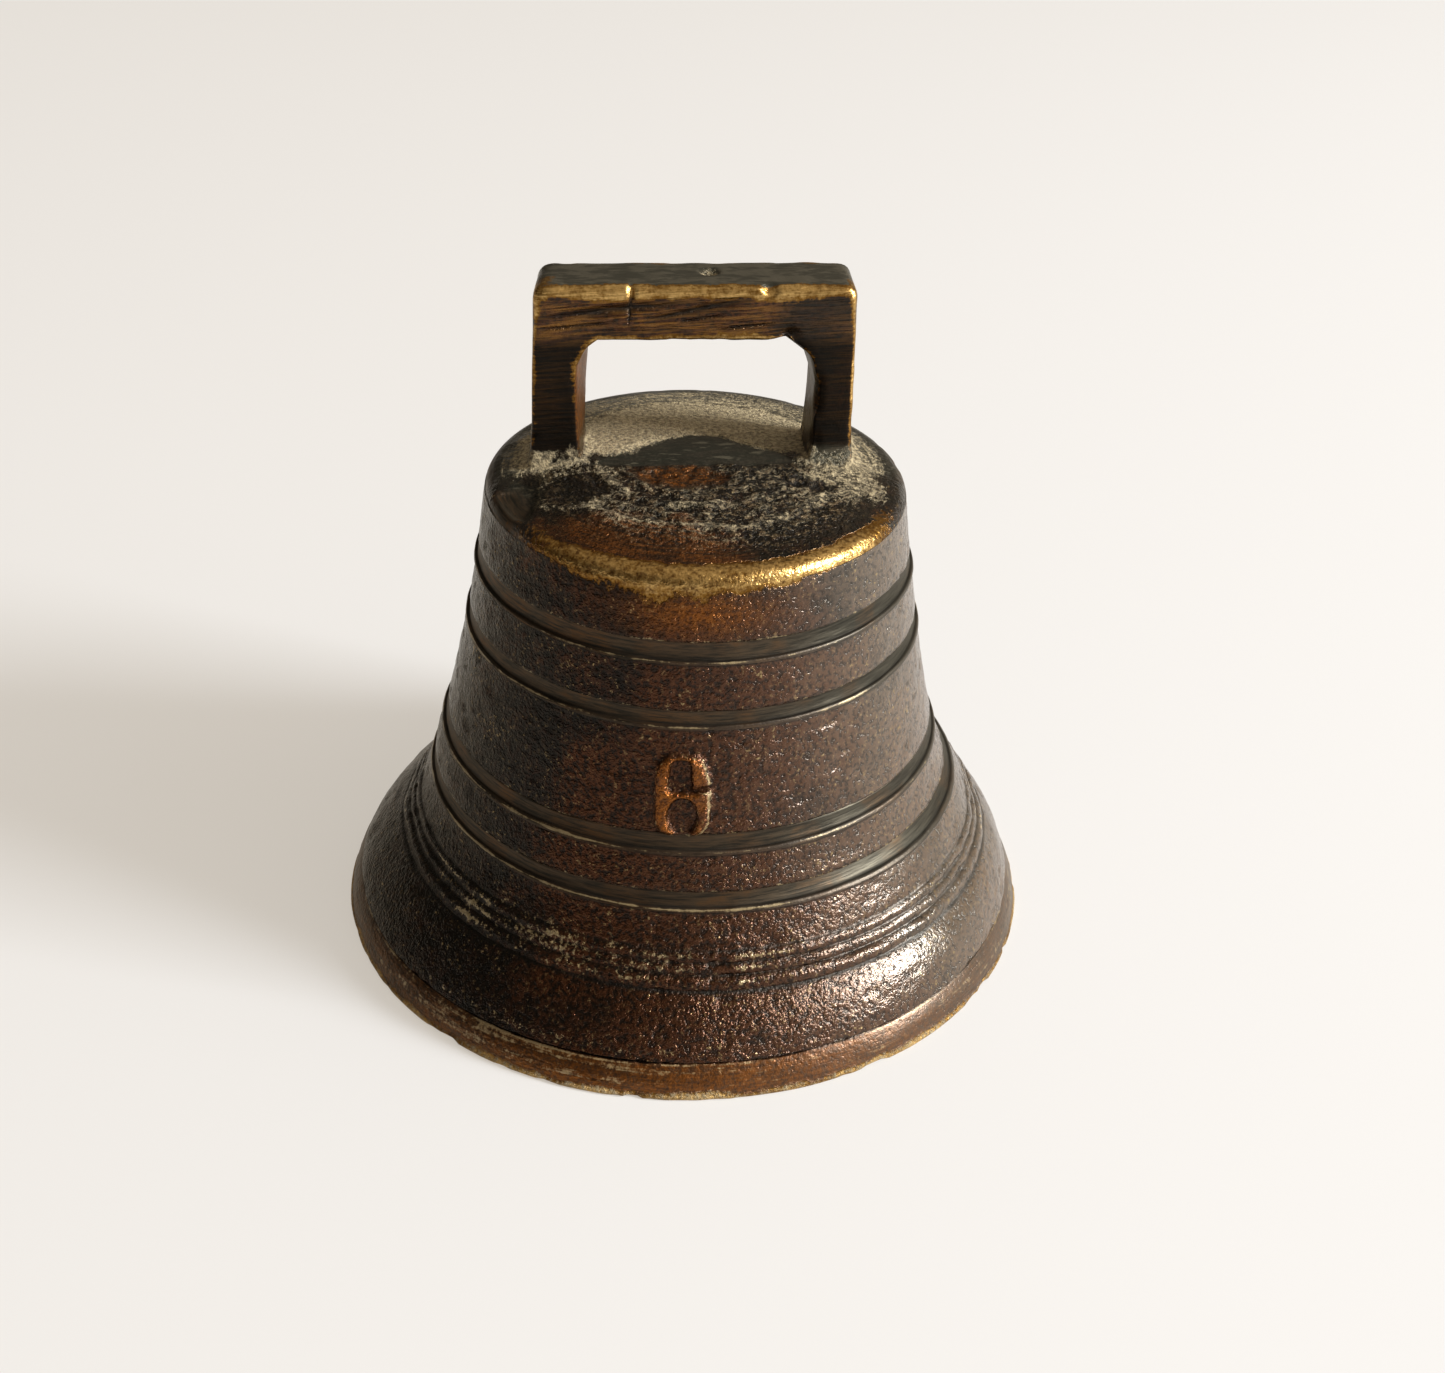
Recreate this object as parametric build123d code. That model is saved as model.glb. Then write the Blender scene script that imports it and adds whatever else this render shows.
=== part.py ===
from build123d import *
from math import cos, exp, radians, sin
import os

# A small cast bell with a square loop handle, standing on its rim. The origin is the middle of the
# rim's plane and +Z is up. The loop runs along X. All sizes are in millimetres.

# The bell's outside
rim_radius = 35.0
crown_height = 46.9  # from the rim's plane to the crown's edge
crown_radius = 19.85
crown_rise = 1.7  # the crown's middle stands this far above its edge
shoulder_round = 0.8
waist_taper = 0.12  # how fast the wall widens all the way down
flare_reach = 14.6  # how much the mouth's flare adds at the rim's plane
flare_height = 9.4  # the height over which that flare fades to about a third

# Turned bands on the waist, each from its top edge down to its lip
bands = [(40.5, 38.4), (34.0, 32.2), (22.2, 20.2), (16.8, 15.0)]
band_step = 0.12  # the cast wall stands proud of a band's top edge by this
lip_proud = 0.2
lip_height = 0.35
band_hollow = 0.06

# The skirt: two beads and a ridge above the sound bow, then the turned lip of the mouth
bead_levels = [11.7, 10.75, 9.8]
bead_swell = 0.2
ridge_foot = 8.55
ridge_swell = 0.28
bow_top = 8.3
bow_foot = 3.45
bow_foot_radius = 33.85
bow_swell = 0.35
lip_groove = 0.3
mouth_lip_top = 3.1
mouth_lip_top_radius = 33.8
mouth_lip_level = 0.9  # the widest ring of the mouth
mouth_lip_swell = 0.15
mouth_edge_radius = 34.25
mouth_inner_radius = 32.2

# The bell's inside, from the mouth up to the ceiling, as (radius, height)
bow_inside = (27.3, 5.6)
flare_inside = (24.7, 11.0)
waist_inside = (21.2, 21.5)
neck_inside = (18.2, 38.5)
ceiling_edge = (15.6, 42.2)
ceiling_height = 43.4

# The loop handle. Its front and back faces are given by their corners, as (x, height), from the
# left foot round to the right foot. As it was cast, it stands a little behind the middle.
loop_front_level = -0.2  # where the two faces stand along Y
loop_back_level = 6.2
loop_root = 46.2  # the legs run down into the crown to here
loop_front = [(-15.75, 46.2), (-15.2, 65.5), (14.4, 65.5), (14.75, 46.2)]
loop_back = [(-15.2, 46.2), (-14.6, 65.5), (14.5, 65.5), (14.9, 46.2)]
window_front = [
    (-10.9, 46.2),
    (-11.3, 54.5),
    (-11.3, 57.8),
    (-10.6, 59.5),
    (-9.4, 60.45),
    (8.0, 60.45),
    (10.4, 58.6),
    (11.0, 56.0),
    (10.7, 46.2),
]
window_back = [
    (-10.4, 46.2),
    (-10.2, 54.5),
    (-10.0, 57.3),
    (-9.5, 59.0),
    (-8.6, 60.2),
    (7.8, 60.2),
    (10.2, 57.8),
    (10.9, 55.5),
    (10.8, 46.2),
]
loop_corner_round = 1.4
loop_edge_round = 0.55
pad_middle = -0.4  # the flat left between the legs where the casting's feeder was filed off
pad_half = 9.0
pad_height = 48.9

# The raised size numeral on the waist
numeral_angle = -96.8  # azimuth, with -90 straight in front
numeral_level = 26.0
numeral_width = 4.9
numeral_height = 8.3
numeral_corner = 1.9
numeral_proud = 0.55
numeral_root = 1.0
bowl_size = (1.4, 1.7)
bowl_place = (0.15, -1.75)
slot_size = (2.0, 3.5)
slot_place = (-0.05, 1.9)
hook_gap = [(0.5, 0.95), (0.5, 0.6), (3.0, 0.45), (3.0, 1.3)]

# The iron staple cast into the crown
staple_wire = 2.4
staple_half = 4.2
staple_level = 38.9  # the middle of the bar that the link hangs on
staple_corner = 2.0
staple_top = 46.3

# The link between the staple and the clapper
link_wire = 1.8
link_inner = 2.7
hang_gap = 0.1  # between two loops where one hangs on the other

# The clapper
eye_wire = 2.0
eye_inner = 2.2
shank_neck = 2.5
shank_shoulder = 3.8
shank_spigot = 2.8
ball_radius = 5.2
ball_level = 6.5
ball_half_height = 4.6
rivet_radius = 2.1
rivet_height = 0.9

link_level = staple_level + staple_wire / 2 + hang_gap - link_inner
link_bottom = link_level - link_inner - link_wire / 2
eye_level = link_bottom + link_wire / 2 + hang_gap - eye_inner


def wall_radius(height):
    """The cast wall's outside: a slight cone that flares out towards the mouth."""
    cone = crown_radius - 0.1 + waist_taper * (crown_height - height)
    return cone + flare_reach * exp(-height / flare_height)


class Outline:
    """A chain of lines and arcs in the XZ plane, given as radius and height."""

    def __init__(self, radius, height):
        self.here = Vector(radius, 0, height)
        self.start = self.here
        self.edges = []

    def line_to(self, radius, height):
        there = Vector(radius, 0, height)
        self.edges.append(Edge.make_line(self.here, there))
        self.here = there

    def arc_to(self, radius, height, swell):
        """An arc whose middle stands swell outside the straight line between its ends."""
        there = Vector(radius, 0, height)
        along = (there - self.here).normalized()
        outside = Vector(along.Z, 0, -along.X)
        middle = (self.here + there) / 2 + outside * swell
        self.edges.append(Edge.make_three_point_arc(self.here, middle, there))
        self.here = there

    def wall_to(self, height):
        """The cast wall from here up to a height, as one arc through the wall's own radii."""
        middle_height = (self.here.Z + height) / 2
        middle = Vector(wall_radius(middle_height), 0, middle_height)
        there = Vector(wall_radius(height), 0, height)
        self.edges.append(Edge.make_three_point_arc(self.here, middle, there))
        self.here = there

    def curve_to(self, *points):
        through = [self.here] + [Vector(radius, 0, height) for radius, height in points]
        self.edges.append(Edge.make_spline(through))
        self.here = through[-1]

    def revolved(self):
        if (self.start - self.here).length > 1e-6:
            self.line_to(self.start.X, self.start.Z)
        return revolve(make_face(self.edges), axis=Axis.Z)


def band(outline, top, foot):
    """One turned band: a thin lip below, a hollow strip above it and a small step at its top."""
    outline.line_to(wall_radius(foot) + lip_proud, foot + 0.05)
    outline.line_to(wall_radius(foot + lip_height) + lip_proud, foot + lip_height)
    outline.line_to(wall_radius(foot + lip_height) - band_step / 2, foot + lip_height + 0.1)
    outline.arc_to(wall_radius(top) - band_step, top - 0.1, -band_hollow)
    outline.line_to(wall_radius(top), top)


def bell_body():
    """The bell without its loop, turned about the middle axis."""
    outline = Outline(mouth_inner_radius, 0)
    outline.line_to(mouth_edge_radius, 0)
    outline.arc_to(rim_radius, mouth_lip_level, 0.2)
    outline.arc_to(mouth_lip_top_radius, mouth_lip_top, mouth_lip_swell)
    outline.line_to(mouth_lip_top_radius - lip_groove, mouth_lip_top + 0.1)
    outline.line_to(bow_foot_radius, bow_foot)
    outline.arc_to(wall_radius(bow_top), bow_top, bow_swell)
    outline.line_to(wall_radius(ridge_foot) - 0.1, ridge_foot)
    swells = [bead_swell, bead_swell, ridge_swell]
    for level, swell in reversed(list(zip(bead_levels, swells))):
        outline.arc_to(wall_radius(level) - 0.05, level, swell)
    for top, foot in reversed(bands):
        outline.wall_to(foot)
        band(outline, top, foot)
    outline.wall_to(crown_height - shoulder_round)
    crown_flat = crown_radius - shoulder_round
    outline.arc_to(crown_flat, crown_height + 0.1, shoulder_round * 0.28)
    outline.arc_to(0, crown_height + crown_rise, crown_rise / 4)
    outline.line_to(0, ceiling_height)
    outline.arc_to(*ceiling_edge, -0.35)
    outline.arc_to(*neck_inside, -0.7)
    outline.curve_to(waist_inside, flare_inside, bow_inside, (mouth_inner_radius, 0))
    return outline.revolved()


def between_faces(front_corners, back_corners):
    """A solid between two outlines of the loop, one in its front face and one in its back."""
    wires = []
    for level, corners in [(loop_front_level, front_corners), (loop_back_level, back_corners)]:
        wires.append(Polyline(*[(x, level, height) for x, height in corners], close=True))
    return loft([make_face(wire) for wire in wires], ruled=True)


def loop_handle():
    """The square loop: two legs and a bridge of flat section, with worn edges."""
    solid = between_faces(loop_front, loop_back)
    top_corners = [
        edge
        for edge in solid.edges()
        if edge.center().Z > loop_front[1][1] - 0.1 and abs(edge.center().X) > 10
    ]
    solid = fillet(top_corners, loop_corner_round)
    free = [edge for edge in solid.edges() if edge.center().Z > loop_root + 0.5]
    solid = fillet(free, loop_edge_round)
    solid -= between_faces(window_front, window_back)
    left, right = pad_middle - pad_half, pad_middle + pad_half
    pad_rim = [
        Edge.make_line((left, loop_front_level), (right, loop_front_level)),
        Edge.make_three_point_arc(
            (right, loop_front_level), (pad_middle, loop_back_level), (left, loop_front_level)
        ),
    ]
    pad = extrude(Pos(0, 0, loop_root) * make_face(pad_rim), pad_height - loop_root)
    return solid + pad


def numeral():
    """The raised six: a rounded plate with its bowl, slot and hook's gap cut out."""
    slope = waist_taper + flare_reach / flare_height * exp(-numeral_level / flare_height)
    angle = radians(numeral_angle)
    out = Vector(cos(angle), sin(angle), 0)
    right = Vector(-sin(angle), cos(angle), 0)
    face_out = (out + Vector(0, 0, slope)).normalized()
    place = out * wall_radius(numeral_level) + Vector(0, 0, numeral_level) - face_out * numeral_root
    sketch = RectangleRounded(numeral_width, numeral_height, numeral_corner)
    sketch -= Pos(*bowl_place) * Ellipse(*bowl_size)
    sketch -= Pos(*slot_place) * RectangleRounded(*slot_size, slot_size[0] * 0.35)
    sketch -= make_face(Polyline(*hook_gap, close=True))
    face = Plane(origin=place, x_dir=right, z_dir=face_out) * sketch
    raised = extrude(face, numeral_root + numeral_proud, dir=face_out)
    band_top = bands[2][0]
    return raised & Pos(0, 0, band_top + rim_radius) * Box(*[2 * rim_radius] * 3)


def staple_path():
    return FilletPolyline(
        (-staple_half, 0, staple_top),
        (-staple_half, 0, staple_level),
        (staple_half, 0, staple_level),
        (staple_half, 0, staple_top),
        radius=staple_corner,
    )


def staple():
    """A bent iron wire whose two ends the crown's bronze was poured around."""
    path = staple_path()
    start = Plane(origin=path @ 0, z_dir=path % 0)
    return sweep(start * Circle(staple_wire / 2), path=path)


def link():
    """A closed ring of iron wire in the YZ plane, hanging on the staple's bar."""
    ring = Torus(link_inner + link_wire / 2, link_wire / 2)
    return Pos(0, 0, link_level) * Rot(0, 90, 0) * ring


def shank():
    """The forged clapper rod: an eye, a tapering rod, a spigot through the ball and its rivet."""
    eye_mean = eye_inner + eye_wire / 2
    eye = Pos(0, 0, eye_level) * Rot(90, 0, 0) * Torus(eye_mean, eye_wire / 2)
    ball_top = ball_level + ball_half_height
    ball_bottom = ball_level - ball_half_height
    rod_top = eye_level - eye_mean
    rod = Outline(0, ball_bottom - rivet_height)
    rod.arc_to(rivet_radius, ball_bottom, 0.35)
    rod.line_to(shank_spigot / 2, ball_bottom)
    rod.line_to(shank_spigot / 2, ball_top)
    rod.line_to(shank_shoulder / 2, ball_top)
    rod.arc_to(shank_neck / 2, rod_top, -0.15)
    rod.line_to(0, rod_top)
    return eye + rod.revolved()


def ball():
    """The clapper's ball, flat above and below, bored for the spigot."""
    flat_radius = (ball_radius**2 - ball_half_height**2) ** 0.5
    outline = Outline(shank_spigot / 2, ball_level - ball_half_height)
    outline.line_to(flat_radius, ball_level - ball_half_height)
    outline.arc_to(flat_radius, ball_level + ball_half_height, ball_radius - flat_radius)
    outline.line_to(shank_spigot / 2, ball_level + ball_half_height)
    return outline.revolved()


nodes = {
    "bell_casting": bell_body() + loop_handle() + numeral() - staple(),
    "clapper_staple": staple(),
    "clapper_link": link(),
    "clapper_shank": shank(),
    "clapper_ball": ball(),
}

for name, shape in nodes.items():
    shape.label = name
    export_step(shape, f"parts/{name}.step")
    box = shape.bounding_box()
    print(name, round(shape.volume, 1), box.min, box.max, len(shape.solids()))
print("link pivot", staple_level, "clapper pivot", round(link_bottom, 3))
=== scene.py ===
import itertools
from math import cos, exp, hypot, pi, radians, sin

import bpy
import numpy as np
from mathutils import Matrix, Vector


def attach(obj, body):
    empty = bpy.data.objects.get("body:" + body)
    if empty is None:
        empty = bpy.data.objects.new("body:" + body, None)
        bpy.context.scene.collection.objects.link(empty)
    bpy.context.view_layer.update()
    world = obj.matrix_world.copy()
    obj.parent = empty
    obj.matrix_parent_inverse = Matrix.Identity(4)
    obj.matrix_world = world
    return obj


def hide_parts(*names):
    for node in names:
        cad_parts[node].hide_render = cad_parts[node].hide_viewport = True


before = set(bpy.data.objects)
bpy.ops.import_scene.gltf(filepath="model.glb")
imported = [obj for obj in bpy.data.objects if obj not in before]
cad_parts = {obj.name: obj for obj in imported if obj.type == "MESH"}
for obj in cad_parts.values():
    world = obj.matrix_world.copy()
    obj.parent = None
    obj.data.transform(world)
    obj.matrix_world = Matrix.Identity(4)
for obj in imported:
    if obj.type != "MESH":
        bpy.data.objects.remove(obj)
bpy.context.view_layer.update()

# ---------------------------------------------------------------------------------------------
# The bell. One casting in bronze: a flared body with four turned bands, beads, a sound bow and a
# turned lip, the raised size numeral, and the square loop that was poured with it and then filed.
# Sizes are millimetres, and a mesh is scaled to metres when it is made. Only the lamps and the
# camera at the end are placed in metres.

rim_radius = 35.0
crown_height = 46.9
crown_radius = 19.85
crown_rise = 1.7
shoulder_round = 1.2
shoulder_foot = crown_height - shoulder_round
cone_slope = 0.12
flare_width, flare_height = 14.6, 9.4
bands = [(40.5, 38.4), (34.0, 32.2), (22.2, 20.2), (16.8, 15.0)]  # top edge, foot of the lip
band_step = 0.14
lip_proud = 0.2
lip_height = 0.38
bow_top = 8.3
bow_foot = 3.45
ridge_foot, ridge_top = 8.55, 9.8
bead_tops = (10.75, 11.7)
mouth_lip_top = 3.1
mouth_lip_radius = 33.8
mouth_lip_level = 0.55
mouth_edge_radius = 34.9
mouth_inner_radius = 32.2
ceiling_height = 43.4
front_azimuth = -92.0  # degrees
numeral_angle = radians(-96.8)
numeral_level = 26.0
numeral_spread = 0.19  # the columns stand closer together this far to each side of it


def wall_radius(height):
    """The cast wall's outside: a slight cone that flares out towards the mouth."""
    cone = crown_radius - 0.1 + cone_slope * (crown_height - height)
    return cone + flare_width * np.exp(-height / flare_height)


def rises(low, high, value):
    """0 below low, 1 above high and a soft step between them."""
    part = np.clip((value - low) / (high - low), 0, 1)
    return part * part * (3 - 2 * part)


def falls(low, high, value):
    """1 below low, 0 above high and a soft step between them."""
    return 1 - rises(low, high, value)


def hump(value, middle, width):
    """1 at the middle, falling off smoothly to each side."""
    return np.exp(-(((value - middle) / width) ** 2))


def lumps(points, size, seed):
    """Smooth random lumps of about a size, between -1 and 1, the same on every run."""
    table = np.random.default_rng(seed).uniform(-1, 1, 8192)
    cell = np.floor(points / size).astype(np.int64)
    part = points / size - cell
    part = part * part * (3 - 2 * part)
    total = np.zeros(len(points))
    for corner in itertools.product((0, 1), repeat=3):
        at = cell + corner
        mixed = at[:, 0] * 73856093 ^ at[:, 1] * 19349663 ^ at[:, 2] * 83492791
        weight = np.prod(np.where(corner, part, 1 - part), axis=1)
        total += table[mixed % 8192] * weight
    return total * 1.4


class Section:
    """The section of a turned piece, as rows of radius and height."""

    def __init__(self, radius, height):
        self.rows = [(radius, height)]

    def arc_to(self, radius, height, swell=0.0, step=0.3, crisp=0.06):
        """Rows to a point, along an arc that stands swell outside the straight line."""
        start = np.array(self.rows[-1])
        run = np.array((radius, height)) - start
        length = np.hypot(*run)
        outside = np.array((run[1], -run[0])) / length
        along = np.linspace(0, 1, max(1, round(length / step)) + 1)[1:]
        if length > 4 * crisp:
            along = np.union1d(along, (crisp / length, 1 - crisp / length))
        for part in along:
            self.rows.append(tuple(start + run * part + outside * swell * 4 * part * (1 - part)))

    def wall_to(self, height, step=0.3):
        """Rows up the cast wall to a height."""
        start = self.rows[-1][1]
        count = max(1, round((height - start) / step))
        for level in np.linspace(start, height, count + 1)[1:]:
            self.rows.append((wall_radius(level), level))

    def curve_to(self, points, step):
        """Rows along one smooth curve through some points."""
        through = np.array([self.rows[-1], *points])
        reach = np.r_[0, np.cumsum(np.hypot(*np.diff(through, axis=0).T))]
        along = np.linspace(0, reach[-1], round(reach[-1] / step) + 1)[1:]
        degree = len(through) - 1
        radius, height = [np.polyval(np.polyfit(reach, way, degree), along) for way in through.T]
        self.rows.extend(zip(radius, height))


section = Section(0.25, ceiling_height)
section.arc_to(7.6, ceiling_height - 0.3, -0.1, step=0.4)
section.arc_to(15.6, 42.2, -0.2, step=0.8)
section.arc_to(18.2, 38.5, -0.7, step=0.6)
section.curve_to([(21.2, 21.5), (24.7, 11.0), (27.3, 5.6), (mouth_inner_radius, 0.0)], 0.9)
inside_rows = len(section.rows)
section.arc_to(mouth_edge_radius, 0.0, step=0.4)
section.arc_to(rim_radius, mouth_lip_level, 0.2, step=0.2)
section.arc_to(mouth_lip_radius, mouth_lip_top, 0.15, step=0.2)
section.arc_to(mouth_lip_radius - 0.32, mouth_lip_top + 0.1, step=0.1)
section.arc_to(mouth_lip_radius + 0.05, bow_foot, step=0.12)
section.arc_to(wall_radius(bow_top), bow_top, 0.35, step=0.3)
section.arc_to(wall_radius(ridge_foot) - 0.15, ridge_foot, step=0.1)
section.arc_to(wall_radius(ridge_top) - 0.08, ridge_top, 0.3, step=0.16)
for bead_top in bead_tops:
    section.arc_to(wall_radius(bead_top) - 0.07, bead_top, 0.2, step=0.14)
for band_top, band_foot in reversed(bands):
    section.wall_to(band_foot, 0.17 if band_foot == bands[1][1] else 0.3)
    lip_top = band_foot + lip_height
    section.arc_to(wall_radius(band_foot) + lip_proud, band_foot + 0.05, step=0.1)
    section.arc_to(wall_radius(lip_top) + lip_proud - 0.05, lip_top, 0.03, step=0.12)
    section.arc_to(wall_radius(lip_top) - band_step * 0.7, lip_top + 0.1, step=0.1)
    section.arc_to(wall_radius(band_top) - band_step, band_top - 0.1, -0.05, step=0.25)
    section.arc_to(wall_radius(band_top), band_top, step=0.1)
section.wall_to(shoulder_foot)
crown_rows = len(section.rows)
section.arc_to(crown_radius - shoulder_round, crown_height + 0.1, shoulder_round * 0.28, step=0.18)
section.arc_to(0.25, crown_height + crown_rise, crown_rise / 4, step=0.36)

close_turns = np.linspace(-numeral_spread, numeral_spread, 60)
wide_turns = np.linspace(numeral_spread, 2 * pi - numeral_spread, 242)[1:-1]
turns = numeral_angle + np.concatenate((close_turns, wide_turns))


def named_mesh(name, points, faces, fields=None):
    """A smooth mesh from points in millimetres, with its fields as point attributes."""
    mesh = bpy.data.meshes.new(name)
    mesh.from_pydata((np.asarray(points) * 0.001).tolist(), [], faces)
    mesh.polygons.foreach_set("use_smooth", [True] * len(mesh.polygons))
    for field, values in (fields or {}).items():
        attribute = mesh.attributes.new(field, "FLOAT", "POINT")
        attribute.data.foreach_set("value", np.asarray(values, dtype=np.float32))
    mesh.update()
    return mesh


def ring_faces(rings, around, closed=False):
    """The quads between rings of points, with capped ends or the last ring joined to the first."""
    count = rings * around
    start = np.arange(rings if closed else rings - 1)[:, None] * around + np.arange(around)
    after = start - np.arange(around) + np.roll(np.arange(around), -1)
    quads = np.stack((start, after, (after + around) % count, (start + around) % count), axis=-1)
    faces = quads.reshape(-1, 4).tolist()
    if not closed:
        faces.append(list(range(around))[::-1])
        faces.append(list(range(count - around, count)))
    return faces


def turned_points(profile, around):
    """The points of rows of radius and height, turned about the middle axis."""
    profile = np.array(profile)
    points = np.empty((len(profile), len(around), 3))
    points[..., 0] = profile[:, :1] * np.cos(around)
    points[..., 1] = profile[:, :1] * np.sin(around)
    points[..., 2] = profile[:, 1:]
    return points.reshape(-1, 3)


def outward(points, faces):
    """Each point's direction out of the surface."""
    mesh = named_mesh("scratch", points, faces)
    normals = np.empty(len(mesh.vertices) * 3, dtype=np.float32)
    mesh.vertex_normals.foreach_get("vector", normals)
    bpy.data.meshes.remove(mesh)
    return normals.reshape(-1, 3)


def rounded_box(across, up, middle, size, corner):
    """The distance to an upright rectangle with round corners, negative inside it."""
    past = np.stack((abs(across - middle[0]), abs(up - middle[1])), axis=-1)
    past = past - np.array(size) / 2 + corner
    return np.hypot(*np.maximum(past, 0).T) + np.minimum(past.max(axis=-1), 0) - corner


def numeral_relief(points):
    """How far the raised six stands out at each point, from 0 to 1."""
    out = np.array((cos(numeral_angle), sin(numeral_angle), 0.0))
    right = np.array((-out[1], out[0], 0.0))
    lean = -cone_slope - flare_width / flare_height * exp(-numeral_level / flare_height)
    up = np.array((0.0, 0.0, 1.0)) + out * lean
    up /= np.linalg.norm(up)
    place = points - out * wall_radius(numeral_level) - (0, 0, numeral_level)
    across, height = place @ right, place @ up
    plate = rounded_box(across, height, (0.2, -0.15), (5.3, 8.1), 1.9)
    bowl = (np.hypot((across - 0.25) / 1.3, (height + 2.15) / 1.75) - 1) * 1.45
    narrowing = (across + 0.02) / (1.12 - 0.09 * height) * 0.95
    slot = rounded_box(narrowing, height, (0.0, 1.8), (1.9, 3.0), 0.5)
    shoulder = (across - 2.6) * 0.95 + (height - 2.0) * 0.3
    opening = abs(height - 0.34 - 0.24 * (across - 0.9)) - 0.1 - 0.12 * np.maximum(across - 1.2, 0)
    gap = np.maximum(opening, 0.8 - across)
    rounded = falls(-0.6, 0.2, np.maximum(plate, shoulder))
    pierced = rises(-0.1, 0.3, np.minimum.reduce((bowl, slot, gap)))
    return (points @ out > 0) * np.minimum(rounded, pierced)


# the bell's body, turned about the middle axis
body_points = turned_points(section.rows, turns)
body_faces = ring_faces(len(section.rows), len(turns))
row_of = np.repeat(np.arange(len(section.rows)), len(turns))
inside = row_of < inside_rows
on_crown = row_of >= crown_rows
wall = ~inside & ~on_crown
level = body_points[:, 2]
across_x, across_y = body_points[:, 0], body_points[:, 1]
reach = np.hypot(across_x, across_y)
azimuth = np.degrees(np.arctan2(across_y, across_x))
front_turn = (azimuth - front_azimuth + 180) % 360 - 180  # degrees round from the front


def sand(size, seed):
    """The lumps of the moulding sand at the body's points."""
    return lumps(body_points, size, seed)


turned = np.zeros(len(body_points))
# painted shade: the creases under and above each band's lip, above the mouth's lip, at the bow and at
# each bead are darkened where shade falls in them
undercut = np.zeros(len(body_points))
for band_top, band_foot in bands:
    lip_top = band_foot + lip_height
    strip = rises(lip_top - 0.02, lip_top + 0.08, level)
    turned += strip * falls(band_top - 0.12, band_top + 0.05, level)
    turned += 0.75 * rises(band_foot, band_foot + 0.08, level) * (1 - strip)
    shadow = rises(band_foot - 0.32, band_foot - 0.02, level)
    undercut += shadow * falls(band_foot, band_foot + 0.06, level)
    undercut += 0.8 * hump(level, lip_top + 0.1, 0.1)
undercut += rises(-0.7, 0.7, sand(5.0, 11)) * hump(level, mouth_lip_top + 0.12, 0.14)
undercut += hump(level, bow_top + 0.2, 0.16)
for bead_top in (ridge_top, *bead_tops):
    undercut += 0.7 * hump(level, bead_top, 0.12)
turned += 0.55 * falls(mouth_lip_top, mouth_lip_top + 0.05, level)
turned *= wall
undercut *= wall

relief = numeral_relief(body_points)
relief *= wall * rises(bands[2][0] - 0.1, bands[2][0] + 0.1, level)

# the skin that the sand left, with worn beads, nicked edges and a few pits
cast = wall * (1 - np.clip(turned, 0, 1)) * (1 - relief)
push = 0.05 * sand(9.0, 1) + 0.03 * sand(4.0, 2)
push += 0.13 * wall * hump(level, numeral_level, 6.0)
push += cast * (0.035 * sand(1.5, 3) + 0.035 * sand(0.8, 4))
push *= np.where(inside, 1.6, 1.0)
beads = rises(ridge_foot - 0.05, ridge_foot + 0.25, level) * wall
beads *= falls(bead_tops[-1] - 0.1, bead_tops[-1] + 0.2, level)
push -= beads * 0.16 * rises(0.0, 0.8, lumps(body_points * (1, 1, 0.4), 5.0, 5))
push += beads * 0.06 * sand(0.9, 10)
push += np.clip(undercut, 0, 1) * 0.04 * sand(1.1, 6)
push -= cast * 0.12 * rises(0.76, 1.0, sand(1.1, 7))
push -= ~inside * (level < 1.1) * 0.2 * rises(0.45, 1.0, sand(1.5, 8))
push += 0.7 * relief * (1 + 0.15 * sand(0.9, 9))
push *= 1 - rises(shoulder_foot - 0.9, shoulder_foot, level) * ~inside
push *= ~on_crown

ragged = sand(2.2, 21) + 0.6 * sand(1.0, 29)


def patch(middle, size, turn=0.0):
    """1 in the middle of an oval patch of the crown, falling to 0 at its edge and past it."""
    along = (across_x - middle[0]) * cos(turn) + (across_y - middle[1]) * sin(turn)
    beside = (across_y - middle[1]) * cos(turn) - (across_x - middle[0]) * sin(turn)
    away = np.hypot(along / size[0], beside / size[1]) + 0.16 * ragged
    return falls(0.45, 1.1, away)


# the crown: a filed lens between the loop's feet, rough ridges in front of it, turned flat behind
front = falls(-3.0, 1.0, across_y)
rough = front * falls(9.0, 14.5, abs(across_x - 1.0)) * falls(13.5, 16.0, reach)
ridge_reach = reach + 0.25 * sand(3.0, 40)
ridges = np.zeros(len(body_points))
for ridge_radius, width, height in [
    (9.3, 0.42, 1.0), (12.9, 0.4, 0.8), (11.1, 0.35, 0.6), (15.0, 0.3, 0.5), (7.4, 0.4, 0.4)
]:
    ridges += height * hump(ridge_reach, ridge_radius, width)
lens_back = 5.3 - 5.6 * ((across_x - 0.1) / 9.4) ** 2 + 0.2 * ragged
lens_front = -1.5 + 0.5 * (across_x / 9.0) ** 2 + 0.25 * ragged
lens = rises(-0.2, 0.2, across_y - lens_front) * rises(-0.4, 0.4, lens_back - across_y)
left_hollow = patch((-11.0, -4.6), (3.9, 2.9), 0.35)
right_hollow = patch((10.3, -4.8), (2.6, 1.5), -0.2)
orange = patch((-2.3, -3.6), (5.2, 2.6), -0.1) * (1 - lens) * on_crown
flat_shoulder = patch((-17.4, -6.0), (2.7, 5.6), -0.33)
foot_middle_y, foot_half_y = 3.0, 3.3
foot_mound = np.zeros(len(body_points))
for foot_x, half_x in [(-13.3, 2.4), (12.8, 2.1)]:
    past_x = np.maximum(abs(across_x - foot_x) - half_x, 0)
    past_y = np.maximum(abs(across_y - foot_middle_y) - foot_half_y, 0)
    foot_mound = np.maximum(foot_mound, np.exp(-np.hypot(past_x, past_y) / 0.9))
grit = 0.5 * sand(1.1, 22) + 0.5 * sand(0.6, 23)
rise = foot_mound * (0.5 + 0.25 * grit)
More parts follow.
